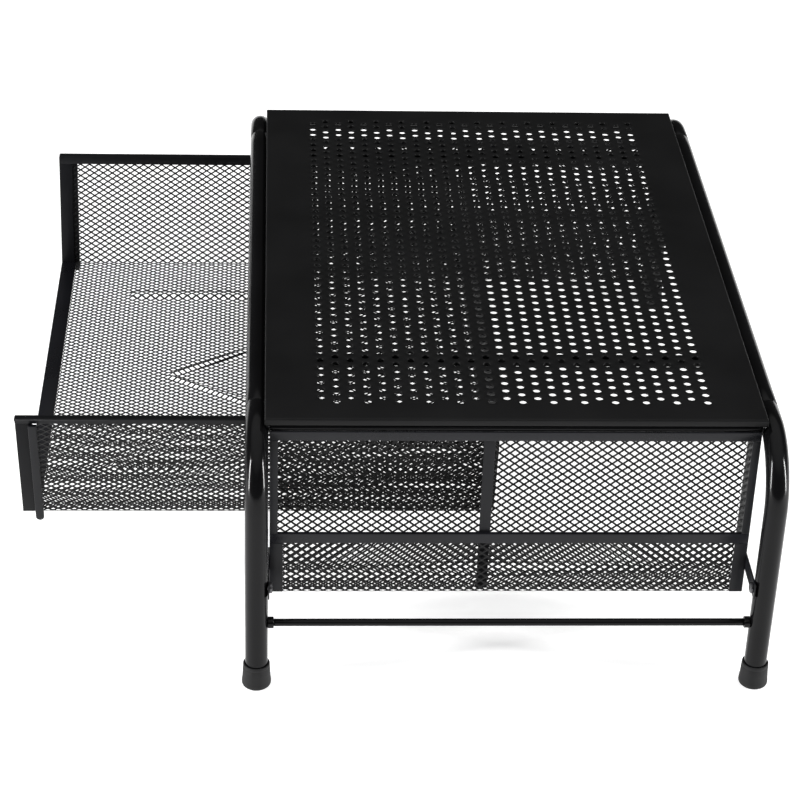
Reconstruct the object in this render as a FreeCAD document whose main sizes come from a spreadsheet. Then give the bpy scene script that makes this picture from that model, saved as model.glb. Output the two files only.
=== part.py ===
import FreeCAD, Part
import math
import os
import Sketcher
from FreeCAD import Vector, Placement, Rotation

# Desk riser stand: perforated deck on two bent-tube leg frames, a mesh tray
# hung under each end and a mesh drawer that slides between the trays.
# Frame: origin on the desk at the centre of the four feet, +Z up, +X to the
# user's right, the drawer opens towards -Y. Millimetres throughout.

doc = FreeCAD.newDocument("riser")

# ---------------------------------------------------------------- sizes
DIMS = [
    # deck plate
    ("deckHalfX", 185.0), ("deckHalfY", 129.0), ("deckTop", 152.0),
    ("deckSheet", 1.0), ("deckFlange", 4.5), ("endFlange", 4.0),
    ("holeDia", 4.0), ("holePitchY", 8.0), ("holePitchX", 7.44),
    ("holeColumns", 26.0), ("holesLongColumn", 46.0), ("holeFirstX", 167.4),
    ("ribHalfWidth", 3.0), ("ribTop", 151.0), ("ribBottom", 147.0),
    ("ribHalfLength", 127.9), ("ribOffset", 121.0),
    # tube frames
    ("tubeRad", 6.0), ("tubeBore", 4.8), ("tubeY", 133.0), ("tubeZ", 143.0),
    ("tubeEndX", 160.0), ("legX", 207.0), ("bendRad", 34.0),
    ("legFootZ", 3.0), ("spigotRad", 4.6), ("spigotBore", 3.4),
    ("spigotLen", 20.0),
    ("footHigh", 14.0), ("footTopRad", 7.05), ("footBaseRad", 7.8),
    ("footRound", 1.6),
    # cross rods
    ("rodRad", 2.0), ("upperRodX", 181.7), ("upperRodZ", 145.0),
    ("upperRodHalf", 128.3), ("lowerRodZ", 40.0), ("lowerRodHalf", 127.5),
    ("collarRad", 3.1), ("collarLen", 3.0), ("upperCollarRad", 2.4), ("upperCollarLen", 0.6),
    # side trays
    ("trayFaceX", 185.0), ("trayHalfY", 126.3), ("trayFloorZ", 44.0),
    ("trayBackFootX", 158.0), ("trayBackTopX", 158.0), ("rimTop", 144.2),
    ("rimBottom", 138.9), ("rimThick", 1.2), ("lipRailTop", 81.0),
    ("lipRailBottom", 75.0), ("meshSheet", 0.8), ("bandWide", 7.0),
    ("dividerY", -13.5), ("dividerBand", 5.8),
    ("tabTop", 67.0), ("tabBottom", 58.0), ("tabInX", 177.0),
    ("tabOutX", 211.5), ("tabSheet", 0.7), ("screwZ", 62.5),
    ("screwRad", 1.5), ("screwHeadRad", 2.9), ("screwHeadHigh", 1.5),
    # drawer, drawn pulled forward by drawerOut from its closed place
    ("drawerOut", 130.0), ("drawerClosedFront", -129.0),
    ("drawerLong", 254.5), ("drawerTop", 133.5), ("drawerFloorZ", 65.0),
    ("drawerHalfTop", 154.0), ("drawerHalfFloor", 140.0),
    ("drawerRimHigh", 5.0), ("drawerRimSheet", 1.4), ("drawerBand", 8.0),
    ("drawerLipDeep", 9.0), ("slideFlange", 2.5), ("slideSheet", 0.8),
    ("postHalfWidth", 2.2), ("postSheet", 2.0), ("postBack", 9.0),
    ("postDrop", 5.5),
    # runners that carry the drawer's flanges
    ("runnerFrontY", -122.0), ("runnerRearY", 127.0), ("runnerLow", 131.2),
    ("runnerHigh", 137.0), ("runnerWebX", 157.0), ("runnerSheet", 0.8),
    ("runnerLipX", 154.8), ("runnerCapX", 148.5),
    ("stopMoveOut", 58.0),
]
sheet = doc.addObject("Spreadsheet::Sheet", "dims")
for row, (alias, value) in enumerate(DIMS, start=1):
    sheet.set("A%d" % row, alias)
    sheet.set("B%d" % row, repr(value))
    sheet.setAlias("B%d" % row, alias)
doc.recompute()


def D(alias):
    return float(sheet.get(alias))


ALIASES = sorted((a for a, _ in DIMS), key=len, reverse=True)


def bound(expr):
    """The same expression with every alias written as dims.alias."""
    out, i = "", 0
    while i < len(expr):
        for a in ALIASES:
            if expr.startswith(a, i) and not (
                i and (expr[i - 1].isalnum() or expr[i - 1] == ".")
            ) and not (i + len(a) < len(expr) and expr[i + len(a)].isalnum()):
                out += "dims." + a
                i += len(a)
                break
        else:
            out += expr[i]
            i += 1
    return out


VALUES = dict(DIMS)


def val(expr):
    """Numeric start value of an expression (only + - * / and brackets)."""
    tokens, word = [], ""
    for ch in expr + " ":
        if ch.isalnum() or ch == ".":
            word += ch
        else:
            if word:
                tokens.append(VALUES[word] if word in VALUES else float(word))
                word = ""
            if ch in "+-*/()":
                tokens.append(ch)
    pos = [0]

    def factor():
        t = tokens[pos[0]]
        pos[0] += 1
        if t == "-":
            return -factor()
        if t == "+":
            return factor()
        if t == "(":
            v = total()
            pos[0] += 1
            return v
        return t

    def term():
        v = factor()
        while pos[0] < len(tokens) and tokens[pos[0]] in ("*", "/"):
            op = tokens[pos[0]]
            pos[0] += 1
            w = factor()
            v = v * w if op == "*" else v / w
        return v

    def total():
        v = term()
        while pos[0] < len(tokens) and tokens[pos[0]] in ("+", "-"):
            op = tokens[pos[0]]
            pos[0] += 1
            w = term()
            v = v + w if op == "+" else v - w
        return v

    return total()


NODES = []


def make_body(label, at=(0, 0, 0), turn=None):
    b = doc.addObject("PartDesign::Body", label)
    b.Label = label
    b.Placement = Placement(Vector(*at), turn or Rotation())
    NODES.append(b)
    return b


def plane(body, role):
    for f in body.Origin.OriginFeatures:
        if f.Role == role:
            return f
    raise RuntimeError("no plane " + role)


def new_sketch(body, role, lift=None):
    sk = body.newObject("Sketcher::SketchObject", body.Name + "_sk")
    sk.AttachmentSupport = [(plane(body, role), "")]
    sk.MapMode = "FlatFace"
    if lift is not None:
        sk.AttachmentOffset = Placement(Vector(0, 0, val(lift)), Rotation())
        sk.setExpression("AttachmentOffset.Base.z", bound(lift))
    return sk


def fix_point(sk, geo, pos, ex, ey):
    for kind, e in (("DistanceX", ex), ("DistanceY", ey)):
        v = val(e)
        n = sk.addConstraint(Sketcher.Constraint(kind, -1, 1, geo, pos, v))
        name = "c%d" % n
        sk.renameConstraint(n, name)
        sk.setExpression("Constraints." + name, bound(e))


def polygon(sk, points):
    xy = [Vector(val(a), val(b), 0) for a, b in points]
    n = len(xy)
    first = sk.GeometryCount
    for i in range(n):
        sk.addGeometry(Part.LineSegment(xy[i], xy[(i + 1) % n]), False)
    for i in range(n):
        sk.addConstraint(
            Sketcher.Constraint("Coincident", first + i, 2, first + (i + 1) % n, 1)
        )
    for i, (a, b) in enumerate(points):
        fix_point(sk, first + i, 1, a, b)


def circle(sk, ex, ey, er):
    g = sk.addGeometry(
        Part.Circle(Vector(val(ex), val(ey), 0), Vector(0, 0, 1), val(er)), False
    )
    fix_point(sk, g, 3, ex, ey)
    n = sk.addConstraint(Sketcher.Constraint("Radius", g, val(er)))
    name = "c%d" % n
    sk.renameConstraint(n, name)
    sk.setExpression("Constraints." + name, bound(er))


def pad(body, sk, length, backwards=False, kind="PartDesign::Pad"):
    f = body.newObject(kind, body.Name + "_f")
    f.Profile = sk
    f.Length = abs(val(length))
    f.setExpression("Length", bound(length))
    f.Reversed = backwards
    sk.Visibility = False
    body.Tip = f
    return f


def prism_y(label, profiles, y0, y1):
    """Closed XZ profiles (lists of x,z expressions) swept from y0 to y1."""
    b = make_body(label)
    for points in profiles:
        sk = new_sketch(b, "XZ_Plane", "-(" + y1 + ")")
        polygon(sk, points)
        # the XZ plane's normal is -Y, so the profile stands at y1 and the pad
        # runs towards y0
        pad(b, sk, "(" + y1 + ")-(" + y0 + ")")
    return b


def plate_z(label, outline, z0, z1):
    """XY outlines swept from z0 up to z1."""
    b = make_body(label)
    for points in outline:
        sk = new_sketch(b, "XY_Plane", z0)
        polygon(sk, points)
        pad(b, sk, "(" + z1 + ")-(" + z0 + ")")
    return b


def rectangle(a0, a1, b0, b1):
    return [(a0, b0), (a1, b0), (a1, b1), (a0, b1)]


def rod_y(label, x, z, r, y0, y1):
    """Round bar along Y as one cylinder."""
    c = doc.addObject("Part::Cylinder", label)
    c.Label = label
    c.Radius = val(r)
    c.setExpression("Radius", bound(r))
    c.Height = val("(" + y1 + ")-(" + y0 + ")")
    c.setExpression("Height", bound("(" + y1 + ")-(" + y0 + ")"))
    # cylinder axis turned from +Z to +Y
    c.Placement = Placement(Vector(val(x), val(y0), val(z)), Rotation(Vector(1, 0, 0), -90))
    NODES.append(c)
    return c


def group(label, shapes):
    """Several identical separate solids kept as one node."""
    f = doc.addObject("Part::Feature", label)
    f.Label = label
    f.Shape = Part.makeCompound(shapes)
    f.Placement = Placement()
    NODES.append(f)
    return f


SIDES = (("right", 1), ("left", -1))

# ---------------------------------------------------------------- deck
# Flat plate with its four edges folded down and a staggered grid of round
# holes: 26 columns across the depth, alternately 46 and 45 holes long.
hx, hy, top, th = D("deckHalfX"), D("deckHalfY"), D("deckTop"), D("deckSheet")
outline = Part.makePolygon([
    Vector(-hx, -hy, 0), Vector(hx, -hy, 0), Vector(hx, hy, 0),
    Vector(-hx, hy, 0), Vector(-hx, -hy, 0),
])
rings = [outline]
cols, longest = int(D("holeColumns")), int(D("holesLongColumn"))
for m in range(cols):
    y = (m - (cols - 1) / 2.0) * D("holePitchY")
    count = longest if m % 2 else longest - 1
    for k in range(count):
        n = k if m % 2 else k + 0.5
        x = D("holeFirstX") - n * D("holePitchX")
        rings.append(Part.Wire(Part.makeCircle(D("holeDia") / 2.0, Vector(x, y, 0), Vector(0, 0, -1))))
face = Part.Face(rings)
if face.Area > 4 * hx * hy:
    raise RuntimeError("deck holes added area")
plate = face.extrude(Vector(0, 0, th))
plate.translate(Vector(0, 0, top - th))
fl, ef = D("deckFlange"), D("endFlange")
skirt = [
    Part.makeBox(2 * hx, th, fl - th, Vector(-hx, -hy, top - fl)),
    Part.makeBox(2 * hx, th, fl - th, Vector(-hx, hy - th, top - fl)),
    Part.makeBox(th, 2 * hy - 2 * th, ef - th, Vector(hx - th, -hy + th, top - ef)),
    Part.makeBox(th, 2 * hy - 2 * th, ef - th, Vector(-hx, -hy + th, top - ef)),
]
deck = plate.fuse(skirt)
deck = deck.removeSplitter() if len(deck.Solids) != 1 else deck
f = doc.addObject("Part::Feature", "top_panel")
f.Label = "top_panel"
f.Shape = deck
f.Placement = Placement()
NODES.append(f)

# Folded channel ribs under the plate, open upwards, running front to back.
for name, cx in (("right", "ribOffset"), ("left", "-ribOffset")):
    a, b_ = cx + "-ribHalfWidth", cx + "+ribHalfWidth"
    prism_y("deck_rib_" + name, [[
        (a, "ribTop"), (a, "ribBottom"), (b_, "ribBottom"), (b_, "ribTop"),
        (b_ + "-deckSheet", "ribTop"), (b_ + "-deckSheet", "ribBottom+deckSheet"),
        (a + "+deckSheet", "ribBottom+deckSheet"), (a + "+deckSheet", "ribTop"),
    ]], "-ribHalfLength", "ribHalfLength")

# ---------------------------------------------------------------- tubes
for name, sy in (("front", -1), ("rear", 1)):
    b = make_body(name + "_top_tube", (0, sy * D("tubeY"), D("tubeZ")))
    sk = new_sketch(b, "YZ_Plane", "-tubeEndX")
    circle(sk, "0", "0", "tubeRad")
    circle(sk, "0", "0", "tubeBore")
    pad(b, sk, "2*tubeEndX")

# Each leg: swaged spigot inside the top tube, quarter bend, straight leg.
# Local origin at the bend's centre of curvature; +X is outboard.
for end, sy in (("front", -1), ("rear", 1)):
    for name, sx in SIDES:
        turn = Rotation() if sx > 0 else Rotation(Vector(0, 0, 1), 180)
        b = make_body(
            "leg_%s_%s" % (end, name),
            (sx * (D("legX") - D("bendRad")), sy * D("tubeY"), D("tubeZ") - D("bendRad")),
            turn,
        )
        sk = new_sketch(b, "YZ_Plane")
        circle(sk, "0", "bendRad", "tubeRad")
        circle(sk, "0", "bendRad", "tubeBore")
        rev = b.newObject("PartDesign::Revolution", b.Name + "_bend")
        rev.Profile = sk
        axis = [o for o in b.Origin.OriginFeatures if o.Role == "Y_Axis"][0]
        rev.ReferenceAxis = (axis, [""])
        rev.Angle = 90.0
        b.Tip = rev
        sk = new_sketch(b, "YZ_Plane")
        circle(sk, "0", "bendRad", "tubeRad")
        circle(sk, "0", "bendRad", "spigotBore")
        pad(b, sk, "legX-bendRad-tubeEndX", True)
        sk = new_sketch(b, "YZ_Plane")
        circle(sk, "0", "bendRad", "spigotRad")
        circle(sk, "0", "bendRad", "spigotBore")
        pad(b, sk, "legX-bendRad-tubeEndX+spigotLen", True)
        sk = new_sketch(b, "XY_Plane")
        circle(sk, "bendRad", "0", "tubeRad")
        circle(sk, "bendRad", "0", "tubeBore")
        pad(b, sk, "tubeZ-bendRad-legFootZ", True)
        doc.recompute()
        want = math.pi * (
            (D("tubeRad") ** 2 - D("tubeBore") ** 2)
            * (math.pi / 2 * D("bendRad") + D("tubeZ") - D("bendRad") - D("legFootZ"))
            + (D("tubeRad") ** 2 - D("spigotBore") ** 2) * (D("legX") - D("bendRad") - D("tubeEndX"))
            + (D("spigotRad") ** 2 - D("spigotBore") ** 2) * D("spigotLen"))
        if len(b.Shape.Solids) != 1 or abs(b.Shape.Volume - want) > 0.01 * want:
            raise RuntimeError("leg volume")

# Rubber cup on each leg end: slightly flared wall, rounded lower edge.
for end, sy in (("front", -1), ("rear", 1)):
    for name, sx in SIDES:
        b = make_body("foot_%s_%s" % (end, name), (sx * D("legX"), sy * D("tubeY"), 0))
        sk = new_sketch(b, "XZ_Plane")
        polygon(sk, [
            ("0", "0"), ("footBaseRad-footRound", "0"),
            ("footBaseRad-0.45*footRound", "0.13*footRound"),
            ("footBaseRad-0.13*footRound", "0.45*footRound"),
            ("footBaseRad", "footRound"), ("footTopRad", "footHigh-0.4"),
            ("footTopRad-0.3", "footHigh"), ("tubeRad", "footHigh"),
            ("tubeRad", "legFootZ"), ("0", "legFootZ"),
        ])
        rev = b.newObject("PartDesign::Revolution", b.Name + "_cup")
        rev.Profile = sk
        axis = [o for o in b.Origin.OriginFeatures if o.Role == "Z_Axis"][0]
        rev.ReferenceAxis = (axis, [""])
        rev.Angle = 360.0
        b.Tip = rev

# ---------------------------------------------------------------- rods
for name, sx in SIDES:
    s = "" if sx > 0 else "-"
    rod_y("upper_rod_" + name, s + "upperRodX", "upperRodZ", "rodRad",
          "-upperRodHalf", "upperRodHalf")
    rod_y("lower_rod_" + name, s + "legX", "lowerRodZ", "rodRad",
          "-lowerRodHalf", "lowerRodHalf")
rings = []
for sx in (1, -1):
    for x, z, end in ((D("upperRodX"), D("upperRodZ"), D("upperRodHalf")),
                      (D("legX"), D("lowerRodZ"), D("tubeY") - D("tubeRad"))):
        for sy in (1, -1):
            ro, ln = D("collarRad"), D("collarLen")
            if z > 100:
                ro, ln = D("upperCollarRad"), D("upperCollarLen")
                end = D("trayHalfY") + 0.05 + ln
            y = end - ln if sy > 0 else -end
            outer = Part.makeCylinder(ro, ln, Vector(sx * x, y, z), Vector(0, 1, 0))
            inner = Part.makeCylinder(D("rodRad"), ln, Vector(sx * x, y, z), Vector(0, 1, 0))
            rings.append(outer.cut(inner))
group("rod_collars", rings)

# ---------------------------------------------------------------- trays
straps, screws = [], []
for name, sx in SIDES:
    s = "" if sx > 0 else "-"

    def X(expr, s=s):
        return expr if not s else "-(" + expr + ")"

    # floor sheet from the foot of the back wall to the lip
    plate_z(name + "_tray_floor", [rectangle(
        X("trayBackFootX"), X("trayFaceX-rimThick"), "-trayHalfY+meshSheet", "trayHalfY-meshSheet")],
        "trayFloorZ-0.5*meshSheet", "trayFloorZ+0.5*meshSheet")
    # back wall, stopping under the back rim
    prism_y(name + "_tray_back", [[
        (X("trayBackFootX"), "trayFloorZ+0.5*meshSheet"),
        (X("trayBackFootX+meshSheet"), "trayFloorZ+0.5*meshSheet"),
        (X("trayBackTopX+meshSheet"), "rimBottom"), (X("trayBackTopX"), "rimBottom"),
    ]], "-trayHalfY+meshSheet", "trayHalfY-meshSheet")
    # low lip below the rail, between the two end bands
    prism_y(name + "_tray_lip", [rectangle(
        X("trayFaceX-rimThick"), X("trayFaceX-rimThick+meshSheet"), "trayFloorZ-0.5*meshSheet", "lipRailBottom")],
        "-trayHalfY+bandWide", "trayHalfY-bandWide")
    prism_y(name + "_tray_lip_rail", [rectangle(
        X("trayFaceX-2.2"), X("trayFaceX"), "lipRailBottom", "lipRailTop")],
        "-trayHalfY", "trayHalfY")
    prism_y(name + "_tray_front_rim", [rectangle(
        X("trayFaceX-rimThick"), X("trayFaceX"), "rimBottom", "rimTop")],
        "-trayHalfY", "trayHalfY")
    prism_y(name + "_tray_back_rim", [rectangle(
        X("trayBackTopX-0.3"), X("trayBackTopX+rimThick"), "rimBottom", "rimTop")],
        "-trayHalfY", "trayHalfY")
    # end walls: sheet in the XZ plane closed to the back wall
    for end, y0, y1 in (("front", "-trayHalfY", "-trayHalfY+meshSheet"),
                        ("rear", "trayHalfY-meshSheet", "trayHalfY")):
        prism_y("%s_tray_%s_end" % (name, end), [[
            (X("trayBackFootX"), "trayFloorZ-0.5*meshSheet"),
            (X("trayFaceX-rimThick"), "trayFloorZ-0.5*meshSheet"),
            (X("trayFaceX-rimThick"), "lipRailBottom"),
            (X("trayFaceX-2.2"), "lipRailBottom"),
            (X("trayFaceX-2.2"), "lipRailTop"),
            (X("trayFaceX-rimThick"), "lipRailTop"),
            (X("trayFaceX-rimThick"), "rimTop-1.4"),
            (X("trayBackTopX+rimThick"), "rimTop-1.4"),
            (X("trayBackTopX+rimThick"), "rimBottom"),
            (X("trayBackTopX"), "rimBottom"),
            (X("trayBackFootX"), "trayFloorZ+0.5*meshSheet"),
        ]], y0, y1)
    # solid corner bands below the rail and slim posts above it
    bands = []
    xf, rt = D("trayFaceX"), D("rimThick")
    for sy in (1, -1):
        y_in = sy * (D("trayHalfY") - D("bandWide"))
        y_out = sy * D("trayHalfY")
        y0 = min(y_in, y_out)
        bx = min(sx * (xf - rt), sx * xf)
        bands.append(Part.makeBox(rt, D("bandWide"), D("lipRailBottom") - D("trayFloorZ") + 0.5 * D("meshSheet"),
                                  Vector(bx, y0, D("trayFloorZ") - 0.5 * D("meshSheet"))))
        y0 = y_out - (4.2 if sy > 0 else 0)
        bands.append(Part.makeBox(rt, 4.2, D("rimBottom") - D("lipRailTop"), Vector(bx, y0, D("lipRailTop"))))
    group(name + "_tray_corner_bands", bands)
    # divider plate with a folded front edge
    prism_y(name + "_tray_divider", [[
        (X("trayBackFootX+meshSheet+0.3"), "trayFloorZ+0.5*meshSheet"),
        (X("trayFaceX-3.4"), "trayFloorZ+0.5*meshSheet"),
        (X("trayFaceX-3.4"), "rimBottom"),
        (X("trayBackTopX+meshSheet+0.3"), "rimBottom"),
    ]], "dividerY-0.5*meshSheet", "dividerY+0.5*meshSheet")
    prism_y(name + "_tray_divider_edge", [rectangle(
        X("trayFaceX-3.4"), X("trayFaceX-2.2"), "trayFloorZ+0.5*meshSheet", "rimBottom")],
        "dividerY-0.5*dividerBand", "dividerY+0.5*dividerBand")
    # strap from each tray end to the leg beside it, with its screw
    for sy in (1, -1):
        y_in = sy * D("trayHalfY")
        y0 = y_in if sy > 0 else y_in - D("tabSheet")
        x0 = min(sx * D("tabInX"), sx * D("tabOutX"))
        strap = Part.makeBox(D("tabOutX") - D("tabInX"), D("tabSheet"), D("tabTop") - D("tabBottom"),
                             Vector(x0, y0, D("tabBottom")))
        hole = Part.makeCylinder(D("screwRad") + 0.15, D("tabSheet"),
                                 Vector(sx * D("legX"), y0, D("screwZ")), Vector(0, 1, 0))
        straps.append(strap.cut(hole))
        out = Vector(0, sy, 0)
        head = Part.makeCylinder(D("screwHeadRad"), D("screwHeadHigh"),
                                 Vector(sx * D("legX"), y_in - sy * D("screwHeadHigh"), D("screwZ")), out)
        shank = Part.makeCylinder(D("screwRad"), D("tabSheet") + 2.2,
                                  Vector(sx * D("legX"), y_in, D("screwZ")), out)
        screws.append(head.fuse(shank).removeSplitter())
    # channel runner: lower lip under the drawer's flange, web, upper lip
    prism_y("runner_" + name, [[
        (X("runnerLipX"), "runnerLow"), (X("runnerWebX+runnerSheet"), "runnerLow"),
        (X("runnerWebX+runnerSheet"), "runnerHigh"), (X("runnerCapX"), "runnerHigh"),
        (X("runnerCapX"), "runnerHigh-runnerSheet"), (X("runnerWebX"), "runnerHigh-runnerSheet"),
        (X("runnerWebX"), "runnerLow+runnerSheet"), (X("runnerLipX"), "runnerLow+runnerSheet"),
    ]], "runnerFrontY", "runnerRearY")

group("leg_straps", straps)
group("strap_screws", screws)

# hangers that join the runners to the plate above them
hangers = []
for sx in (1, -1):
    for y in (-115.0, 115.0):
        x0 = D("runnerCapX") if sx > 0 else -D("runnerCapX") - 1.0
        zlo, zhi = D("runnerHigh"), D("deckTop") - D("deckSheet")
        web = Part.makeBox(1.0, 12.0, zhi - zlo, Vector(x0, y - 6.0, zlo))
        toe = Part.makeBox(6.0, 12.0, 1.0, Vector(x0 if sx > 0 else x0 - 5.0, y - 6.0, zlo))
        head = Part.makeBox(7.0, 12.0, 1.0, Vector(x0 - (6.0 if sx > 0 else 0.0), y - 6.0, zhi - 1.0))
        hangers.append(web.fuse([toe, head]).removeSplitter())
group("runner_hangers", hangers)
stops = []
for sx in (1, -1):
    y = D("drawerClosedFront") - D("drawerOut") + D("drawerLong") - 5.5 - D("stopMoveOut") - 2.5
    x0 = min(sx * 154.6, sx * D("runnerWebX"))
    wide = D("runnerWebX") - 154.6
    stops.append(Part.makeBox(wide, 2.0, 2.2, Vector(x0, y, 134.0)))
    stops.append(Part.makeBox(wide, 1.2, 4.2, Vector(x0, 125.8, 132.0)))
group("runner_stops", stops)

# ---------------------------------------------------------------- drawer
# yF is the front edge and yR the rear face in the pulled-out rest place.
yF = "(drawerClosedFront-drawerOut)"
yR = "(drawerClosedFront-drawerOut+drawerLong)"
lean = "((drawerHalfTop-drawerHalfFloor)/(drawerTop-drawerFloorZ))"


def wallx(z, off="0"):
    return "drawerHalfFloor+(" + z + "-drawerFloorZ)*" + lean + "+" + off


rimlow = "(drawerTop-drawerRimHigh)"
floorhi = "(drawerFloorZ+0.5*meshSheet)"
floorlo = "(drawerFloorZ-0.5*meshSheet)"
plate_z("drawer_floor", [rectangle(
    "-drawerHalfFloor+1.0", "drawerHalfFloor-1.0", yF + "+drawerLipDeep", yR + "-meshSheet")],
    floorlo, floorhi)
plate_z("drawer_front_strip", [rectangle(
    "-drawerHalfFloor+1.7", "drawerHalfFloor-1.7", yF, yF + "+drawerLipDeep")],
    "drawerFloorZ-0.8", "drawerFloorZ+0.8")
for name, sx in SIDES:
    s = "" if sx > 0 else "-"

    def X(expr, s=s):
        return expr if not s else "-(" + expr + ")"

    prism_y("drawer_%s_side" % name, [[
        (X(wallx(floorlo, "-meshSheet")), floorlo), (X(wallx(floorlo)), floorlo),
        (X(wallx(rimlow)), rimlow), (X(wallx(rimlow, "-meshSheet")), rimlow),
    ]], yF + "+drawerBand", yR + "-meshSheet")
    prism_y("drawer_%s_front_band" % name, [[
        (X(wallx("(drawerFloorZ-0.8)", "-drawerRimSheet")), "(drawerFloorZ-0.8)"),
        (X(wallx("(drawerFloorZ-0.8)")), "(drawerFloorZ-0.8)"),
        (X(wallx(rimlow)), rimlow), (X(wallx(rimlow, "-drawerRimSheet")), rimlow),
    ]], yF, yF + "+drawerBand")
    prism_y("drawer_%s_rim" % name, [[
        (X(wallx(rimlow, "-drawerRimSheet")), rimlow), (X(wallx(rimlow, "0.2")), rimlow),
        (X("drawerHalfTop+0.2"), "drawerTop-slideSheet"),
        (X("drawerHalfTop+slideFlange"), "drawerTop-slideSheet"),
        (X("drawerHalfTop+slideFlange"), "drawerTop"),
        (X("drawerHalfTop-drawerRimSheet"), "drawerTop"),
    ]], yF, yR)
    # flat corner post outside the wall with a rounded foot below the floor
    lo = "(drawerFloorZ-postDrop)"
    slope = math.atan((D("drawerHalfTop") - D("drawerHalfFloor")) / (D("drawerTop") - D("drawerFloorZ")))
    zc = D("drawerFloorZ") - D("postDrop")
    xc = D("drawerHalfFloor") - D("postDrop") * math.tan(slope) + 0.05
    yc = D("drawerClosedFront") - D("drawerOut") + D("postBack")
    b = make_body("drawer_%s_post" % name, (sx * xc, yc, zc),
                  Rotation(Vector(0, 1, 0), sx * math.degrees(slope)))
    tall = "(drawerTop-drawerRimHigh-drawerFloorZ+postDrop-0.4)*%.6f" % (1.0 / math.cos(slope))
    sk = new_sketch(b, "YZ_Plane")
    polygon(sk, rectangle("-postHalfWidth", "postHalfWidth", "postHalfWidth", tall))
    pad(b, sk, "postSheet", sx < 0)
    sk = new_sketch(b, "YZ_Plane")
    circle(sk, "0", "postHalfWidth", "postHalfWidth")
    pad(b, sk, "postSheet", sx < 0)

# rear wall sheet and its rim, between the two side walls
b = make_body("drawer_rear")
sk = new_sketch(b, "XZ_Plane", "-" + yR)
polygon(sk, [
    ("-(" + wallx(floorlo, "-meshSheet") + ")", floorlo), (wallx(floorlo, "-meshSheet"), floorlo),
    (wallx(rimlow, "-meshSheet"), rimlow), ("-(" + wallx(rimlow, "-meshSheet") + ")", rimlow),
])
pad(b, sk, "meshSheet")
b = make_body("drawer_rear_rim")
sk = new_sketch(b, "XZ_Plane", "-" + yR)
polygon(sk, [
    ("-(" + wallx(rimlow, "-drawerRimSheet-0.05") + ")", rimlow), (wallx(rimlow, "-drawerRimSheet-0.05"), rimlow),
    ("drawerHalfTop-drawerRimSheet-0.05", "drawerTop"), ("-(drawerHalfTop-drawerRimSheet-0.05)", "drawerTop"),
])
pad(b, sk, "drawerRimSheet")
tabs = []
for sx in (1, -1):
    y = D("drawerClosedFront") - D("drawerOut") + D("drawerLong") - 5.5
    x0 = min(sx * 154.9, sx * 156.3)
    tabs.append(Part.makeBox(1.4, 3.0, 2.0, Vector(x0, y, D("drawerTop"))))
group("drawer_stop_tabs", tabs)

# ---------------------------------------------------------------- output
doc.recompute()
bad = []
for o in doc.Objects:
    if "Invalid" in o.State or "Error" in o.State:
        bad.append("%s %s" % (o.Label, o.State))
for o in NODES:
    sh = o.Shape
    if sh.isNull() or not sh.isValid() or not sh.Solids or sh.Volume <= 0:
        bad.append("%s shape" % o.Label)
if bad:
    raise RuntimeError("; ".join(bad))
labels = [o.Label for o in NODES]
if len(set(labels)) != len(labels) or len(labels) > 60:
    raise RuntimeError("labels")
os.makedirs("parts", exist_ok=True)
for old in os.listdir("parts"):
    if old.endswith(".step") and old[:-5] not in labels:
        os.remove(os.path.join("parts", old))
for o in NODES:
    o.Shape.exportStep(os.path.join("parts", o.Label + ".step"))
    bb = o.Shape.BoundBox
    print("%-28s n=%d v=%9.1f x %.1f %.1f y %.1f %.1f z %.1f %.1f" % (
        o.Label, len(o.Shape.Solids), o.Shape.Volume, bb.XMin, bb.XMax, bb.YMin, bb.YMax, bb.ZMin, bb.ZMax))
print("nodes", len(NODES))
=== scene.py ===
import math

import bmesh
import bpy
import numpy as np
from mathutils import Matrix, Vector


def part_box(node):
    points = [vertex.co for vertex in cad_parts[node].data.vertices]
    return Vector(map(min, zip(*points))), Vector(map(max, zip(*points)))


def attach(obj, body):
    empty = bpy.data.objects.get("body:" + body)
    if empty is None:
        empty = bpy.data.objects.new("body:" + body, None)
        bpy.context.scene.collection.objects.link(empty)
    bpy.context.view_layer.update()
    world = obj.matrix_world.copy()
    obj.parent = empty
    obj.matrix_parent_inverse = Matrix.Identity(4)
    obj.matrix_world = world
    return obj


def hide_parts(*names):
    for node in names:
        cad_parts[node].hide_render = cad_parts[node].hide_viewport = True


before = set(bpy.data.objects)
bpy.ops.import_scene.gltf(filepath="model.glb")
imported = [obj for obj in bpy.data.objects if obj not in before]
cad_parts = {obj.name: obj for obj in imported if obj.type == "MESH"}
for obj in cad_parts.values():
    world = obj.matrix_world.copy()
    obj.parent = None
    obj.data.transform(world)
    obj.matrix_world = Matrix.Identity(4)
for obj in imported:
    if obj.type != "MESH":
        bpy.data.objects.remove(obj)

MM = 0.001
scene = bpy.context.scene
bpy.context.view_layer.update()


# ------------------------------------------------------------------ helpers
def lo_hi(node):
    lo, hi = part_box(node)
    return np.array(lo), np.array(hi)


def finish_mesh(name, verts, faces, material, body, nodes, sharp=38.0, smooth=True):
    """One named piece from plain arrays, riding on a body."""
    me = bpy.data.meshes.new(name)
    me.from_pydata([tuple(v) for v in np.asarray(verts, float)], [], faces)
    me.update()
    return dress(name, me, material, body, nodes, sharp, smooth)


def dress(name, me, material, body, nodes, sharp=38.0, smooth=True):
    me.validate()
    if smooth:
        me.shade_smooth()
        me.set_sharp_from_angle(angle=math.radians(sharp))
    me.materials.clear()
    me.materials.append(material)
    ob = bpy.data.objects.new(name, me)
    scene.collection.objects.link(ob)
    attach(ob, body)
    if nodes:
        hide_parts(*nodes)
    return ob


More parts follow.
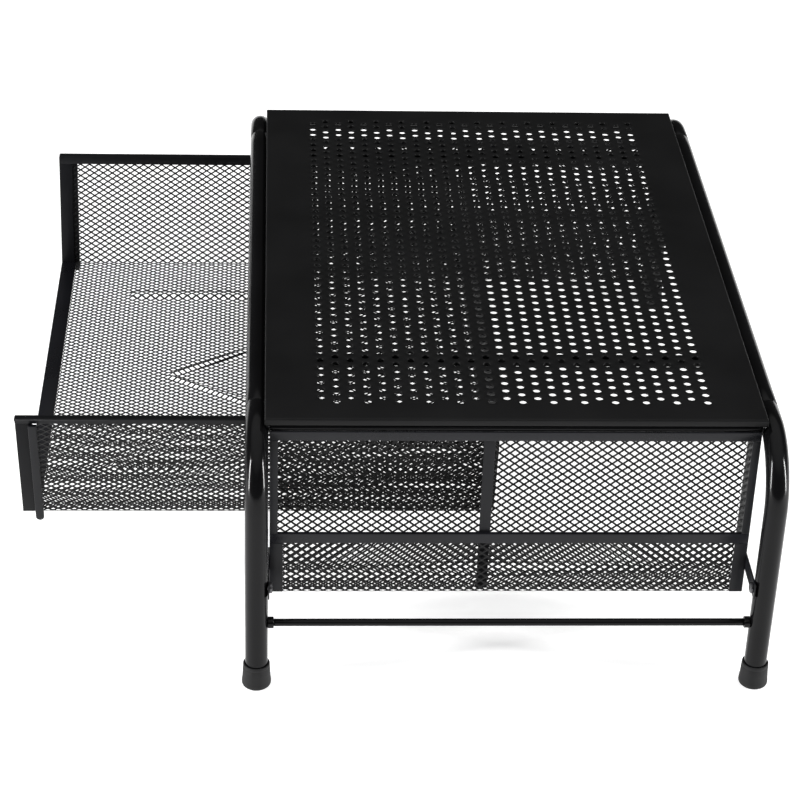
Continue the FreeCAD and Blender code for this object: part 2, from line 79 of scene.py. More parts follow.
# ---------------------------------------------------------------- materials
def coat(name, colour, rough, rough_swing, grain, bump, clear=0.0, clear_rough=0.1,
         spec=0.5, speck=0.35, streak=(1.0, 1.0, 1.0), metallic=0.0, sheen=0.0):
    """Painted or moulded surface: colour mottling, roughness and relief all
    come from noise in the piece's own coordinates."""
    m = bpy.data.materials.new(name)
    m.use_nodes = True
    nt = m.node_tree
    for n in list(nt.nodes):
        nt.nodes.remove(n)
    N = nt.nodes.new
    L = nt.links.new
    out = N("ShaderNodeOutputMaterial")
    bsdf = N("ShaderNodeBsdfPrincipled")
    L(bsdf.outputs["BSDF"], out.inputs["Surface"])
    tc = N("ShaderNodeTexCoord")
    mp = N("ShaderNodeMapping")
    mp.inputs["Scale"].default_value = streak
    L(tc.outputs["Object"], mp.inputs["Vector"])

    wide = N("ShaderNodeTexNoise")
    wide.inputs["Scale"].default_value = 22.0
    wide.inputs["Detail"].default_value = 4.0
    wide.inputs["Roughness"].default_value = 0.55
    L(mp.outputs["Vector"], wide.inputs["Vector"])
    fine = N("ShaderNodeTexNoise")
    fine.inputs["Scale"].default_value = grain
    fine.inputs["Detail"].default_value = 3.0
    fine.inputs["Roughness"].default_value = 0.6
    L(mp.outputs["Vector"], fine.inputs["Vector"])
    cells = N("ShaderNodeTexVoronoi")
    cells.inputs["Scale"].default_value = grain * 0.45
    L(mp.outputs["Vector"], cells.inputs["Vector"])

    # colour: base, a little lighter where the coat is thin, rare pale specks
    ramp = N("ShaderNodeValToRGB")
    ramp.color_ramp.elements[0].position = 0.30
    ramp.color_ramp.elements[0].color = tuple(c * 0.78 for c in colour) + (1,)
    ramp.color_ramp.elements[1].position = 0.74
    ramp.color_ramp.elements[1].color = tuple(min(1.0, c * 1.32) for c in colour) + (1,)
    L(wide.outputs["Fac"], ramp.inputs["Fac"])
    dots = N("ShaderNodeMapRange")
    dots.inputs["From Min"].default_value = 0.70
    dots.inputs["From Max"].default_value = 0.82
    dots.inputs["To Min"].default_value = 0.0
    dots.inputs["To Max"].default_value = speck
    L(fine.outputs["Fac"], dots.inputs["Value"])
    mix = N("ShaderNodeMix")
    mix.data_type = "RGBA"
    L(dots.outputs["Result"], mix.inputs["Factor"])
    L(ramp.outputs["Color"], mix.inputs["A"])
    mix.inputs["B"].default_value = tuple(min(1.0, c * 2.4 + 0.01) for c in colour) + (1,)
    L(mix.outputs["Result"], bsdf.inputs["Base Color"])

    # roughness: broad handling marks plus the fine grain
    r1 = N("ShaderNodeMapRange")
    r1.inputs["From Min"].default_value = 0.28
    r1.inputs["From Max"].default_value = 0.72
    r1.inputs["To Min"].default_value = rough - rough_swing
    r1.inputs["To Max"].default_value = rough + rough_swing
    L(wide.outputs["Fac"], r1.inputs["Value"])
    r2 = N("ShaderNodeMapRange")
    r2.inputs["From Min"].default_value = 0.2
    r2.inputs["From Max"].default_value = 0.8
    r2.inputs["To Min"].default_value = -0.4 * rough_swing
    r2.inputs["To Max"].default_value = 0.4 * rough_swing
    L(fine.outputs["Fac"], r2.inputs["Value"])
    add = N("ShaderNodeMath")
    add.operation = "ADD"
    add.use_clamp = True
    L(r1.outputs["Result"], add.inputs[0])
    L(r2.outputs["Result"], add.inputs[1])
    L(add.outputs["Value"], bsdf.inputs["Roughness"])

    # relief: orange peel from the cells, fine tooth from the noise
    peel = N("ShaderNodeMath")
    peel.operation = "MULTIPLY"
    peel.inputs[1].default_value = 0.55
    L(cells.outputs["Distance"], peel.inputs[0])
    mixh = N("ShaderNodeMath")
    mixh.operation = "ADD"
    L(peel.outputs["Value"], mixh.inputs[0])
    L(fine.outputs["Fac"], mixh.inputs[1])
    b = N("ShaderNodeBump")
    b.inputs["Strength"].default_value = bump
    b.inputs["Distance"].default_value = 0.00012
    L(mixh.outputs["Value"], b.inputs["Height"])
    L(b.outputs["Normal"], bsdf.inputs["Normal"])

    bsdf.inputs["Metallic"].default_value = metallic
    bsdf.inputs["Specular IOR Level"].default_value = spec
    bsdf.inputs["Coat Weight"].default_value = clear
    bsdf.inputs["Coat Roughness"].default_value = clear_rough
    if sheen:
        bsdf.inputs["Sheen Weight"].default_value = sheen
        bsdf.inputs["Sheen Roughness"].default_value = 0.5
    return m


DECK = coat("deck_satin_black", (0.0046, 0.0046, 0.0048), 0.42, 0.05, 900.0, 0.16, spec=0.14, speck=0.25)
TUBE = coat("tube_gloss_black", (0.0030, 0.0030, 0.0033), 0.17, 0.035, 420.0, 0.05, clear=0.12,
            clear_rough=0.05, spec=0.10, speck=0.08)
SHEET = coat("sheet_semigloss_black", (0.0062, 0.0064, 0.0082), 0.30, 0.06, 700.0, 0.12, clear=0.08,
             clear_rough=0.18, spec=0.20, speck=0.22)
TRIM = coat("trim_satin_black", (0.0042, 0.0043, 0.0050), 0.34, 0.06, 700.0, 0.12, clear=0.02,
            clear_rough=0.18, spec=0.09, speck=0.22)
BAND = coat("band_satin_black", (0.0050, 0.0052, 0.0064), 0.38, 0.06, 700.0, 0.12, spec=0.20, speck=0.22)
MESH = coat("mesh_black", (0.0034, 0.0034, 0.0037), 0.34, 0.08, 1300.0, 0.20, spec=0.20, speck=0.25)
RUNNER = coat("runner_satin_black", (0.008, 0.008, 0.009), 0.42, 0.08, 500.0, 0.16, spec=0.3,
              streak=(1.0, 0.15, 1.0))
SCREW = coat("screw_black_zinc", (0.10, 0.10, 0.105), 0.30, 0.08, 1500.0, 0.20, spec=0.5, metallic=0.85)
RUBBER = coat("foot_rubber_black", (0.0062, 0.0062, 0.0066), 0.72, 0.08, 620.0, 0.55, spec=0.22,
              speck=0.40, sheen=0.04)

SLOT_OF = {
    "deck_steel": DECK, "tube_steel": TUBE, "sheet_steel": SHEET, "mesh_steel": MESH,
    "runner_steel": RUNNER, "screw_steel": SCREW, "foot_rubber": RUBBER,
}


# -------------------------------------------- softened copies of sheet parts
def soften(node, material, body, width, segments=2, name=None, sharp=35.0, nose=0.0):
    """A piece shaped on the node's own solid, its split faces joined, flat
    areas merged and every hard edge given a small rolled radius. nose rounds
    the piece's upper front corner."""
    bm = bmesh.new()
    bm.from_mesh(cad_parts[node].data)
    bmesh.ops.remove_doubles(bm, verts=bm.verts, dist=2e-6)
    bmesh.ops.dissolve_limit(bm, angle_limit=math.radians(0.6), verts=bm.verts, edges=bm.edges)
    if nose > 0.0:
        y_low, z_high = min(v.co.y for v in bm.verts), max(v.co.z for v in bm.verts)
        tip = [e for e in bm.edges if all(v.co.y < y_low + 0.2 * MM and v.co.z > z_high - 0.6 * MM
                                          for v in e.verts)]
        bmesh.ops.bevel(bm, geom=tip, offset=nose, offset_type="OFFSET", segments=6, profile=0.5,
                        affect="EDGES", clamp_overlap=True)
    hard = [e for e in bm.edges if len(e.link_faces) == 2 and e.calc_face_angle(0.0) > math.radians(28)]
    bmesh.ops.bevel(bm, geom=hard, offset=width, offset_type="OFFSET", segments=segments, profile=0.5,
                    affect="EDGES", clamp_overlap=True, miter_outer="SHARP")
    bmesh.ops.remove_doubles(bm, verts=bm.verts, dist=1e-6)
    bmesh.ops.triangulate(bm, faces=bm.faces)
    me = bpy.data.meshes.new(name or (node + "_visual"))
    bm.to_mesh(me)
    bm.free()
    return dress(name or (node + "_visual"), me, material, body, [node], sharp)


# ----------------------------------------------------------- expanded mesh
def expanded(name, origin, u_dir, v_dir, n_dir, u_lim, v_lim, half_at, pu, pv, strand, thick,
             tilt, material, body, nodes, lift=None, phase=(0.0, 0.0)):
    """Diamond mesh sheet. Holes sit on the odd points of a half-pitch grid,
    each strand and each bond is its own pair of faces, and the strands are
    tilted out of the sheet's plane. half_at(v) gives the (low, high) u limits
    at height v; what lies beyond is pulled onto that line."""
    u0, u1 = u_lim
    v0, v1 = v_lim
    A, B = pu / 2.0, pv / 2.0
    L = math.hypot(A, B)
    s = 1.0 - 0.5 * strand * L / (A * B)
    a, b = A * s, B * s
    i0, i1 = int(math.floor(u0 / A)) - 2, int(math.ceil(u1 / A)) + 2
    j0, j1 = int(math.floor(v0 / B)) - 2, int(math.ceil(v1 / B)) + 2
    ni, nj = i1 - i0 + 1, j1 - j0 + 1
    I, J = np.meshgrid(np.arange(i0, i1 + 1), np.arange(j0, j1 + 1), indexing="ij")
    hole = ((I + J) % 2) == 1
    hid = -np.ones((ni, nj), int)
    hid[hole] = np.arange(hole.sum())
    cu, cv = I[hole] * A + phase[0] * A, J[hole] * B + phase[1] * B
    # tips: 0 right, 1 top, 2 left, 3 bottom
    tu = np.stack([cu + a, cu, cu - a, cu], 1)
    tv = np.stack([cv, cv + b, cv, cv - b], 1)
    w = np.stack([cu * 0, cu * 0 - tilt, cu * 0, cu * 0 + tilt], 1)
    low_v, high_v = tv < v0, tv > v1
    tv2 = np.clip(tv, v0, v1)
    lo_u, hi_u = half_at(tv2)
    low_u, high_u = tu < lo_u, tu > hi_u
    tu2 = np.minimum(np.maximum(tu, lo_u), hi_u)
    flags = (low_v * 1 + high_v * 2 + low_u * 4 + high_u * 8).reshape(-1)
    if lift is not None:
        w = w + lift(tu2, tv2)
    o = np.array(origin)
    U, V, Nn = (np.array(x, float) for x in (u_dir, v_dir, n_dir))
    flat = o + tu2.reshape(-1, 1) * U + tv2.reshape(-1, 1) * V
    ww = w.reshape(-1, 1)
    top = flat + (ww + thick / 2) * Nn
    bot = flat + (ww - thick / 2) * Nn
    nv = len(flat)

    def at(di, dj, tip):
        """Vertex index arrays of the holes beside every lattice node."""
        ii, jj = np.nonzero(node_in)
        h = hid[ii + di, jj + dj]
        return np.where(h >= 0, h * 4 + tip, -1)

    node_in = ~hole
    node_in[0, :] = node_in[-1, :] = False
    node_in[:, 0] = node_in[:, -1] = False
    bond = np.stack([at(-1, 0, 0), at(0, -1, 1), at(1, 0, 2), at(0, 1, 3)], 1)
    # strand up-right of the node: holes (0, +1) and (+1, 0)
    s1 = np.stack([at(0, 1, 3), at(1, 0, 2), at(1, 0, 1), at(0, 1, 0)], 1)
    # strand down-right of the node: holes (+1, 0) and (0, -1)
    s2 = np.stack([at(0, -1, 1), at(0, -1, 0), at(1, 0, 3), at(1, 0, 2)], 1)
    quads = np.concatenate([bond, s1, s2])
    quads = quads[(quads >= 0).all(1)]
    inside = (flags[quads[:, 0]] & flags[quads[:, 1]] & flags[quads[:, 2]] & flags[quads[:, 3]]) == 0
    quads = quads[inside]
    base = np.arange(hole.sum()) * 4
    walls = []
    for t in range(4):
        p, q = base + t, base + (t + 1) % 4
        ok = (flags[p] & flags[q]) == 0
        p, q = p[ok], q[ok]
        walls.append(np.stack([p, q, q + nv, p + nv], 1))
    faces = np.concatenate([quads, quads[:, ::-1] + nv] + walls)
    verts = np.concatenate([top, bot])
    used = np.zeros(len(verts), bool)
    used[faces.reshape(-1)] = True
    index = np.cumsum(used) - 1
    faces = index[faces]
    if np.dot(np.cross(U, V), Nn) < 0:
        faces = faces[:, ::-1]
    ob = finish_mesh(name, verts[used], faces.tolist(), material, body, nodes,
                     smooth=False)
    return ob


# ------------------------------------------------------------- round sweeps
def frame_along(path):
    """Points and unit tangents along a planar path."""
    P = np.asarray(path, float)
    T = np.gradient(P, axis=0)
    T /= np.linalg.norm(T, axis=1)[:, None]
    return P, T


def sweep(name, path, radii, side, material, body, nodes, seg=56, sharp=50.0, extra=None):
    """Round section swept along a path that lies in the plane normal to
    side; radii gives the radius at each station, and repeated stations
    with different radii make square shoulders."""
    P = np.asarray(path, float)
    T = np.zeros_like(P)
    for k in range(len(P)):
        a, b = P[max(k - 1, 0)], P[min(k + 1, len(P) - 1)]
        d = b - a
        n = np.linalg.norm(d)
        T[k] = d / n if n > 1e-9 else T[k - 1]
    S = np.array(side, float)
    verts, faces = [], []
    for k in range(len(P)):
        n2 = np.cross(T[k], S)
        n2 /= np.linalg.norm(n2)
        for q in range(seg):
            t = 2 * math.pi * q / seg
            verts.append(P[k] + radii[k] * (math.cos(t) * S + math.sin(t) * n2))
    for k in range(len(P) - 1):
        for q in range(seg):
            a, b = k * seg + q, k * seg + (q + 1) % seg
            faces.append((a, b, b + seg, a + seg))
    faces.append(tuple(range(seg))[::-1])
    faces.append(tuple((len(P) - 1) * seg + q for q in range(seg)))
    bm = bmesh.new()
    vs = [bm.verts.new(v) for v in verts]
    for f in faces:
        bm.faces.new([vs[i] for i in f])
    if extra:
        extra(bm)
    bmesh.ops.recalc_face_normals(bm, faces=bm.faces)
    me = bpy.data.meshes.new(name)
    bm.to_mesh(me)
    bm.free()
    return dress(name, me, material, body, nodes, sharp)


# ================================================================= the deck
def build_deck():
    lo, hi = lo_hi("top_panel")
    hx, hy, top = hi[0], hi[1], hi[2]
    th, r = 1.0 * MM, 1.15 * MM
    px, py, rad, cols, longest, first = 7.44 * MM, 8.0 * MM, 2.0 * MM, 26, 46, 167.4 * MM
    seg = 16
    index, verts, faces = {}, [], []

    def vert(x, y, z):
        key = (round(x * 1e6), round(y * 1e6), round(z * 1e6))
        if key not in index:
            index[key] = len(verts)
            verts.append((x, y, z))
        return index[key]

    ring_angles = [2 * math.pi * (k + 0.5) / seg for k in range(seg)]
    bx, by = px / 2, py / 2
    border = [(bx, -by), (bx, by), (0.0, by), (-bx, by), (-bx, -by), (0.0, -by)]
    border_angles = [math.atan2(y, x) % (2 * math.pi) for x, y in border]
    order = sorted(range(6), key=lambda k: border_angles[k])

    def loft(cx, cy, rr, z):
        ring = [vert(cx + rr * math.cos(t), cy + rr * math.sin(t), z) for t in ring_angles]
        edge = [vert(cx + border[k][0], cy + border[k][1], z) for k in order]
        ea = [border_angles[k] for k in order]
        i = j = 0
        while i < seg or j < 6:
            ra = ring_angles[i % seg] + 2 * math.pi * (i // seg)
            rn = ring_angles[(i + 1) % seg] + 2 * math.pi * ((i + 1) // seg)
            en = ea[(j + 1) % 6] + 2 * math.pi * ((j + 1) // 6)
            if i < seg and (j >= 6 or rn <= en):
                tri = (ring[i % seg], edge[j % 6], ring[(i + 1) % seg])
                i += 1
            else:
                tri = (ring[i % seg], edge[j % 6], edge[(j + 1) % 6])
                j += 1
            faces.append(tri)
        return ring

    zt, zb = top, top - th
    for m in range(cols):
        cy = (m - (cols - 1) / 2.0) * py
        count = longest if m % 2 else longest - 1
        for k in range(count):
            cx = first - (k if m % 2 else k + 0.5) * px
            r_top = loft(cx, cy, rad + 0.30 * MM, zt)
            mids = [vert(cx + (rad + 0.08 * MM) * math.cos(t), cy + (rad + 0.08 * MM) * math.sin(t),
                         zt - 0.10 * MM) for t in ring_angles]
            inner = [vert(cx + rad * math.cos(t), cy + rad * math.sin(t), zt - 0.30 * MM)
                     for t in ring_angles]
            r_bot = loft(cx, cy, rad, zb)
            for A_, B_ in ((r_top, mids), (mids, inner), (inner, r_bot)):
                for q in range(seg):
                    n = (q + 1) % seg
                    faces.append((A_[q], A_[n], B_[n], B_[q]))
    # half cells that even out the shorter columns, then the plain margins
    xe = first + px / 2
    ye = cols / 2.0 * py
    for z in (zt, zb):
        for m in range(0, cols, 2):
            cy = (m - (cols - 1) / 2.0) * py
            for s in (1, -1):
                a, b = s * (xe - px / 2), s * xe
                faces.append((vert(a, cy - by, z), vert(b, cy - by, z), vert(b, cy + by, z),
                              vert(a, cy + by, z)))
    xs = [(-xe + k * px / 2) for k in range(2 * longest + 1)]
    ys = [(-ye + k * py) for k in range(cols + 1)]
    loop = []
    fx, fy = hx - r, hy - r
    for x in [-fx] + xs + [fx]:
        loop.append((x, -fy, 0 if abs(x) < fx else math.copysign(1, x), -1))
    for y in ys + [fy]:
        loop.append((fx, y, 1, 0 if abs(y) < fy else 1))
    for x in xs[::-1] + [-fx]:
        loop.append((x, fy, 0 if abs(x) < fx else -1, 1))
    for y in ys[::-1]:
        loop.append((-fx, y, -1, 0))
    for z in (zt, zb):
        for a, b in zip(xs[:-1], xs[1:]):
            for s in (1, -1):
                faces.append((vert(a, s * ye, z), vert(b, s * ye, z), vert(b, s * fy, z),
                              vert(a, s * fy, z)))
        for a, b in zip(ys[:-1], ys[1:]):
            for s in (1, -1):
                faces.append((vert(s * xe, a, z), vert(s * xe, b, z), vert(s * fx, b, z),
                              vert(s * fx, a, z)))
        for sx in (1, -1):
            for sy in (1, -1):
                faces.append((vert(sx * xe, sy * ye, z), vert(sx * fx, sy * ye, z),
                              vert(sx * fx, sy * fy, z), vert(sx * xe, sy * fy, z)))
    # folded edge: outer bend, skirt, hem at the foot, back up the inside
    depth = 4.0 * MM
    prof = [(0.0, 0.0)]
    for k in range(1, 7):
        t = math.pi / 2 * k / 6
        prof.append((r * math.sin(t), -r * (1 - math.cos(t))))
    prof += [(r, -depth + 0.35 * MM), (r - 0.12 * MM, -depth + 0.1 * MM), (r - 0.35 * MM, -depth),
             (r - th + 0.2 * MM, -depth), (r - th, -depth + 0.2 * MM), (r - th, -r - 0.05 * MM),
             (0.0, -th)]
    rows = []
    for off, dz in prof:
        rows.append([vert(x + nx * off, y + ny * off, zt + dz) for x, y, nx, ny in loop])
    n = len(loop)
    for A_, B_ in zip(rows[:-1], rows[1:]):
        for q in range(n):
            w = (q + 1) % n
            faces.append((A_[q], A_[w], B_[w], B_[q]))
    bm = bmesh.new()
    vs = [bm.verts.new(v) for v in verts]
    for f in faces:
        f = list(dict.fromkeys(f))
        if len(f) > 2:
            try:
                bm.faces.new([vs[i] for i in f])
            except ValueError:
                pass
    bmesh.ops.recalc_face_normals(bm, faces=bm.faces)
    me = bpy.data.meshes.new("deck_plate")
    bm.to_mesh(me)
    bm.free()
    return dress("deck_plate", me, DECK, "stand", ["top_panel"], 40.0)


build_deck()
for side in ("right", "left"):
    soften("deck_rib_" + side, DECK, "stand", 0.25 * MM)


# ================================================================ the tubes
def tube_groove(r):
    """Stations for a tube end: flat face, rounded lip."""
    return [(0.0, r - 0.95 * MM), (0.18 * MM, r - 0.45 * MM), (0.55 * MM, r - 0.10 * MM), (0.95 * MM, r)]


R = 6.0 * MM
for end, sy in (("front", -1), ("rear", 1)):
    lo, hi = lo_hi(end + "_top_tube")
    y, z = (lo[1] + hi[1]) / 2, (lo[2] + hi[2]) / 2
    half = hi[0]
    path, radii = [], []
    for d, rr in tube_groove(R):
        path.append((-half + d, y, z))
        radii.append(rr)
    for k in range(1, 24):
        path.append((-half + 2 * half * k / 24, y, z))
        radii.append(R)
    for d, rr in reversed(tube_groove(R)):
        path.append((half - d, y, z))
        radii.append(rr)
    sweep(end + "_rail_tube", path, radii, (0, 1, 0), TUBE, "stand", [end + "_top_tube"])
    for name, sx in (("right", 1), ("left", -1)):
        x_end, x_leg, bend = 160.0 * MM, 207.0 * MM, 34.0 * MM
        path, radii = [], []
        # swaged spigot inside the rail tube, then the shoulder
        for d, rr in ((-20.0, 3.9), (-19.4, 4.5), (-19.0, 4.6), (-0.2, 4.6), (0.04, 4.6)):
            path.append((sx * (x_end + d * MM), y, z))
            radii.append(rr * MM)
        for d, rr in tube_groove(R):
            path.append((sx * (x_end + 0.05 * MM + d), y, z))
            radii.append(rr)
        for k in range(0, 33):
            t = math.pi / 2 * k / 32
            path.append((sx * (x_leg - bend + bend * math.sin(t)), y, z - bend + bend * math.cos(t)))
            radii.append(R)
        for zz in (90, 75, 60, 45, 30, 18, 10, 3.5):
            path.append((sx * x_leg, y, zz * MM))
            radii.append(R)
        path.append((sx * x_leg, y, 3.05 * MM))
        radii.append(R - 0.4 * MM)
        sweep("leg_tube_%s_%s" % (end, name), path, radii, (0, 1, 0), TUBE, "stand",
              ["leg_%s_%s" % (end, name)])

# ----------------------------------------------------------- rubber feet
for end, sy in (("front", -1), ("rear", 1)):
    for name, sx in (("right", 1), ("left", -1)):
        node = "foot_%s_%s" % (end, name)
        lo, hi = lo_hi(node)
        cx, cy = (lo[0] + hi[0]) / 2, (lo[1] + hi[1]) / 2
        prof = [(0.0, 3.0), (6.0, 3.0), (6.05, 13.3), (6.15, 13.85), (6.45, 14.0), (6.85, 13.92),
                (7.05, 13.6), (7.10, 13.1), (7.12, 12.4), (7.0, 12.15), (7.0, 11.85), (7.16, 11.6),
                (7.30, 8.0), (7.55, 4.2), (7.68, 3.2), (7.76, 2.4), (7.78, 1.7), (7.72, 1.15),
                (7.50, 0.62), (7.10, 0.22), (6.6, 0.04), (6.1, 0.0), (4.6, 0.0), (4.3, 0.25),
                (3.4, 0.25), (3.1, 0.0), (0.0, 0.0)]
        seg = 56
        verts, faces = [], []
        for rr, zz in prof:
            for q in range(seg):
                t = 2 * math.pi * q / seg
                verts.append((cx + rr * MM * math.cos(t), cy + rr * MM * math.sin(t), zz * MM))
        for k in range(len(prof) - 1):
            for q in range(seg):
                a, b = k * seg + q, k * seg + (q + 1) % seg
                faces.append((a, b, b + seg, a + seg))
        bm = bmesh.new()
        vs = [bm.verts.new(v) for v in verts]
        for f in faces:
            bm.faces.new([vs[i] for i in f])
        bmesh.ops.remove_doubles(bm, verts=bm.verts, dist=1e-6)
        bmesh.ops.recalc_face_normals(bm, faces=bm.faces)
        me = bpy.data.meshes.new("foot_cap_%s_%s" % (end, name))
        bm.to_mesh(me)
        bm.free()
        dress("foot_cap_%s_%s" % (end, name), me, RUBBER, "stand", [node], 48.0)

# ------------------------------------------------------------- cross rods
for side in ("right", "left"):
    for kind in ("upper", "lower"):
        node = "%s_rod_%s" % (kind, side)
        lo, hi = lo_hi(node)
        cx, cz, rr = (lo[0] + hi[0]) / 2, (lo[2] + hi[2]) / 2, (hi[0] - lo[0]) / 2
        path = [(cx, lo[1], cz), (cx, lo[1] + 0.3 * MM, cz)]
        radii = [rr - 0.3 * MM, rr]
        for k in range(1, 16):
            path.append((cx, lo[1] + (hi[1] - lo[1]) * k / 16, cz))
            radii.append(rr)
        path += [(cx, hi[1] - 0.3 * MM, cz), (cx, hi[1], cz)]
        radii += [rr, rr - 0.3 * MM]
        sweep("cross_rod_%s_%s" % (kind, side), path, radii, (1, 0, 0), TUBE, "stand", [node],
              seg=36)
soften("rod_collars", TUBE, "stand", 0.3 * MM, 3)

# ================================================================ the trays
T_MM = 0.55 * MM
for side, sx in (("right", 1), ("left", -1)):
    n = side + "_tray_"
    lo, hi = lo_hi(n + "floor")
    y0, y1 = lo[1], hi[1]
    xs0, xs1 = (lo[0], hi[0])
    tp = dict(strand=0.98 * MM, thick=0.42 * MM, tilt=0.13 * MM, material=MESH, body="stand")
    ep = dict(tp, strand=1.30 * MM, thick=0.78 * MM, tilt=0.0)

    def wide(a, b):
        return lambda v: (np.full_like(v, a), np.full_like(v, b))

    expanded(n + "mesh_floor", (0, 0, (lo[2] + hi[2]) / 2), (0, 1, 0), (1, 0, 0), (0, 0, 1),
             (y0, y1), (xs0, xs1), wide(y0, y1), 5.75 * MM, 4.4 * MM, nodes=[n + "floor"], **tp)
    lo, hi = lo_hi(n + "back")
    expanded(n + "mesh_back", ((lo[0] + hi[0]) / 2, 0, 0), (0, 1, 0), (0, 0, 1), (sx, 0, 0),
             (y0, y1), (lo[2], hi[2]), wide(y0, y1), 5.75 * MM, 4.4 * MM, nodes=[n + "back"], **tp)
    lo, hi = lo_hi(n + "lip")
    expanded(n + "mesh_lip", ((lo[0] + hi[0]) / 2, 0, 0), (0, 1, 0), (0, 0, 1), (sx, 0, 0),
             (lo[1] - 0.3 * MM, hi[1] + 0.3 * MM), (lo[2], hi[2]), wide(lo[1], hi[1]), 5.75 * MM,
             4.4 * MM, nodes=[n + "lip"], **tp)
    for end in ("front_end", "rear_end"):
        lo, hi = lo_hi(n + end)
        expanded(n + "mesh_" + end, (0, (lo[1] + hi[1]) / 2, 0), (1, 0, 0), (0, 0, 1),
                 (0, -1 if end[0] == "f" else 1, 0), (lo[0], hi[0]), (lo[2], hi[2]),
                 wide(lo[0], hi[0]), 5.75 * MM, 4.4 * MM, nodes=[n + end], **ep)
    lo, hi = lo_hi(n + "divider")
    expanded(n + "mesh_divider", (0, (lo[1] + hi[1]) / 2, 0), (1, 0, 0), (0, 0, 1), (0, -1, 0),
             (lo[0], hi[0]), (lo[2], hi[2]), wide(lo[0], hi[0]), 5.75 * MM, 4.4 * MM,
             nodes=[n + "divider"], **ep)
    for part in ("lip_rail", "front_rim", "back_rim"):
        soften(n + part, SHEET, "stand", 0.30 * MM, 3)
    soften(n + "corner_bands", BAND, "stand", 0.30 * MM, 3)
    soften(n + "divider_edge", BAND, "stand", 0.30 * MM, 3)
    soften("runner_" + side, RUNNER, "stand", 0.18 * MM, 2)

soften("leg_straps", BAND, "stand", 0.15 * MM, 2)
soften("strap_screws", SCREW, "stand", 0.30 * MM, 3)
soften("runner_hangers", RUNNER, "stand", 0.20 * MM, 2)
soften("runner_stops", RUNNER, "stand", 0.20 * MM, 2)

# =============================================================== the drawer
flo, fhi = lo_hi("drawer_floor")


def ridge(d, half, high):
    """Pressed bead across its own width: flat crown and sloping flanks."""
    t = np.clip((half - np.abs(d)) / (0.55 * half), 0.0, 1.0)
    return high * t * t * (3 - 2 * t)


def beads(u, v):
    """Height of the pressed beads over the floor; u runs along Y, v along X."""
    z = np.zeros_like(u)
    run = np.clip((u - (-214.0 * MM)) / (3.0 * MM), 0.0, 1.0) * np.clip((-18.0 * MM - u) / (3.0 * MM), 0.0, 1.0)
    for s in (1, -1):
        z = np.maximum(z, run * ridge(v - s * 97.0 * MM, 4.8 * MM, 1.9 * MM))
    # arrowhead: two arms that meet at the middle and open towards the rear
    t = (u + 187.0 * MM) / (84.0 * MM)
    arm = np.abs(v) - (u + 187.0 * MM) * 0.61
    run = np.clip(t / 0.03, 0.0, 1.0) * np.clip((1.0 - t) / 0.03, 0.0, 1.0)
    z = np.maximum(z, run * ridge(arm, 3.4 * MM, 1.3 * MM))
    return z


dm = dict(strand=0.84 * MM, thick=0.42 * MM, tilt=0.12 * MM, material=MESH, body="drawer")
expanded("drawer_mesh_floor", (0, 0, (flo[2] + fhi[2]) / 2), (0, 1, 0), (1, 0, 0), (0, 0, 1),
         (flo[1], fhi[1]), (flo[0], fhi[0]),
         lambda v: (np.full_like(v, flo[1]), np.full_like(v, fhi[1])),
         5.65 * MM, 3.70 * MM, nodes=["drawer_floor"], lift=beads, **dm)
soften("drawer_front_strip", SHEET, "drawer", 0.35 * MM, 3)
for side, sx in (("right", 1), ("left", -1)):
    n = "drawer_%s_" % side
    lo, hi = lo_hi(n + "side")
    inner_low = lo[0] if sx > 0 else -hi[0]
    outer_high = hi[0] if sx > 0 else -lo[0]
    run, rise = (outer_high - inner_low - 0.8 * MM), hi[2] - lo[2]
    slope = math.hypot(run, rise)
    v_dir = (sx * run / slope, 0, rise / slope)
    n_dir = (sx * rise / slope, 0, -run / slope)
    base = (sx * (inner_low + 0.4 * MM), 0, lo[2])
    expanded(n + "mesh_side", base, (0, 1, 0), v_dir, n_dir, (lo[1], hi[1]), (0.0, slope),
             lambda v, a=lo[1], b=hi[1]: (np.full_like(v, a), np.full_like(v, b)),
             5.65 * MM, 3.70 * MM, nodes=[n + "side"], **dm)
    soften(n + "front_band", TRIM, "drawer", 0.35 * MM, 3)
    soften(n + "rim", TRIM, "drawer", 0.30 * MM, 3, nose=3.2 * MM)
    soften(n + "post", BAND, "drawer", 0.40 * MM, 3)
lo, hi = lo_hi("drawer_rear")
half_top, half_low = hi[0], hi[0] - run
expanded("drawer_mesh_rear", (0, (lo[1] + hi[1]) / 2, 0), (1, 0, 0), (0, 0, 1), (0, 1, 0),
         (lo[0], hi[0]), (lo[2], hi[2]),
         lambda v, a=lo[2], b=hi[2]: (-(half_low + (half_top - half_low) * (v - a) / (b - a)),
                                      half_low + (half_top - half_low) * (v - a) / (b - a)),
         5.65 * MM, 3.70 * MM, nodes=["drawer_rear"], **dm)
soften("drawer_rear_rim", TRIM, "drawer", 0.30 * MM, 3)
soften("drawer_stop_tabs", RUNNER, "drawer", 0.20 * MM, 2)

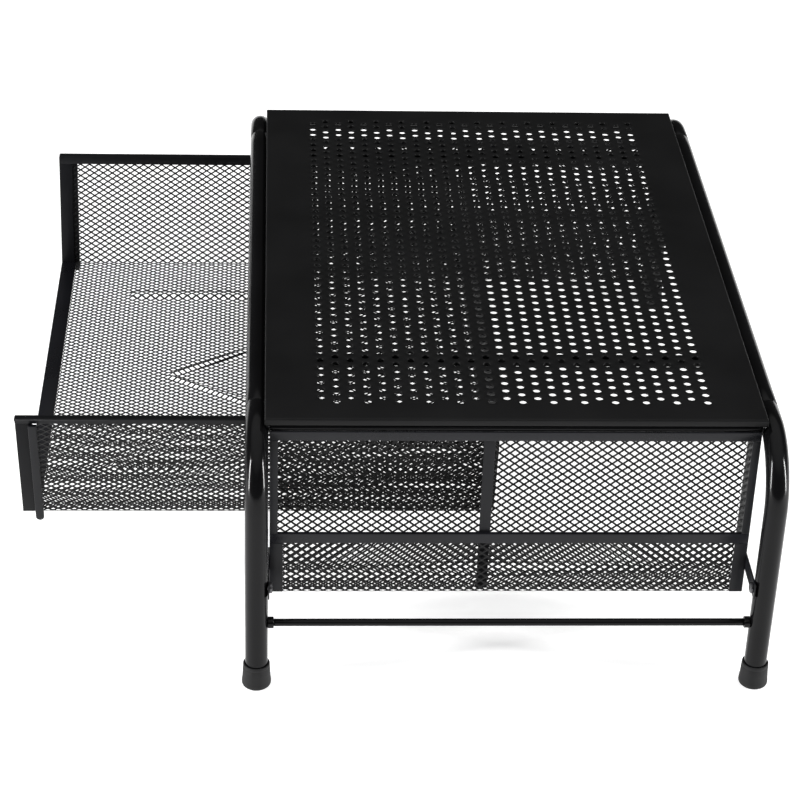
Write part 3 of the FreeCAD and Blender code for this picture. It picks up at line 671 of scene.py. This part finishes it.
# ==================================================================== stage
floor_me = bpy.data.meshes.new("studio_floor")
bm = bmesh.new()
bmesh.ops.create_grid(bm, x_segments=8, y_segments=8, size=14.0)
bm.to_mesh(floor_me)
bm.free()
floor = bpy.data.objects.new("studio_floor", floor_me)
scene.collection.objects.link(floor)
floor.location = (0, 0, -0.0002)
fm = bpy.data.materials.new("studio_white")
fm.use_nodes = True
fb = fm.node_tree.nodes["Principled BSDF"]
fn = fm.node_tree.nodes.new("ShaderNodeTexNoise")
fn.inputs["Scale"].default_value = 40.0
fr = fm.node_tree.nodes.new("ShaderNodeMapRange")
fr.inputs["To Min"].default_value = 0.80
fr.inputs["To Max"].default_value = 0.95
fm.node_tree.links.new(fn.outputs["Fac"], fr.inputs["Value"])
fm.node_tree.links.new(fr.outputs["Result"], fb.inputs["Roughness"])
fb.inputs["Base Color"].default_value = (0.80, 0.80, 0.80, 1)
fb.inputs["Emission Color"].default_value = (1.0, 1.0, 1.0, 1)
fb.inputs["Emission Strength"].default_value = 0.58
fb.inputs["Specular IOR Level"].default_value = 0.05
floor_me.materials.append(fm)

# soft dome: bright overhead, falling away towards the horizon
world = bpy.data.worlds.new("studio")
scene.world = world
world.use_nodes = True
wn, wl = world.node_tree.nodes, world.node_tree.links
bg = wn["Background"]
wt = wn.new("ShaderNodeTexCoord")
ws = wn.new("ShaderNodeSeparateXYZ")
wl.new(wt.outputs["Generated"], ws.inputs["Vector"])
wr = wn.new("ShaderNodeValToRGB")
wr.color_ramp.interpolation = "EASE"
stops = [(0.0, 0.06), (0.55, 0.06), (0.74, 0.7), (0.92, 1.0)]
wr.color_ramp.elements[0].position, wr.color_ramp.elements[1].position = stops[0][0], stops[1][0]
while len(wr.color_ramp.elements) < len(stops):
    wr.color_ramp.elements.new(stops[len(wr.color_ramp.elements)][0])
for e, (pos, v) in zip(wr.color_ramp.elements, stops):
    e.position = pos
    e.color = (v, v, v, 1)
wl.new(ws.outputs["Z"], wr.inputs["Fac"])
wl.new(wr.outputs["Color"], bg.inputs["Color"])
bg.inputs["Strength"].default_value = 0.85
scene.view_settings.view_transform = "Standard"


def area(name, where, look, size_x, size_y, power):
    d = bpy.data.lights.new(name, "AREA")
    d.shape = "RECTANGLE"
    d.size, d.size_y = size_x, size_y
    d.energy = power
    o = bpy.data.objects.new(name, d)
    o.location = where
    o.rotation_mode = "QUATERNION"
    o.rotation_quaternion = (Vector(look) - Vector(where)).to_track_quat("-Z", "Y")
    scene.collection.objects.link(o)
    return o


area("strip_left", (0.55, -1.5, 0.42), (0.15, 0, 0.08), 0.14, 1.1, 46.0)
area("strip_right", (0.55, 1.5, 0.42), (0.15, 0, 0.08), 0.14, 1.1, 46.0)

cam = bpy.data.cameras.new("camera")
cam.sensor_width = 36.0
cam.lens = 36.0 * 2402.3090 / 800.0
cam.shift_x = 0.02
cam.clip_start, cam.clip_end = 0.05, 60.0
cam_ob = bpy.data.objects.new("camera", cam)
scene.collection.objects.link(cam_ob)
right = Vector((0.0385020481, 0.9988722446, 0.0277818596))
down = Vector((0.5269083296, 0.0033289352, -0.8499155998))
fwd = Vector((-0.8490495859, 0.0473619888, -0.5261859431))
rot = Matrix((right, -down, -fwd)).transposed()
cam_ob.rotation_mode = "QUATERNION"
cam_ob.rotation_quaternion = rot.to_quaternion()
cam_ob.location = (1.21525040, -0.12624965, 0.80197441)
scene.camera = cam_ob
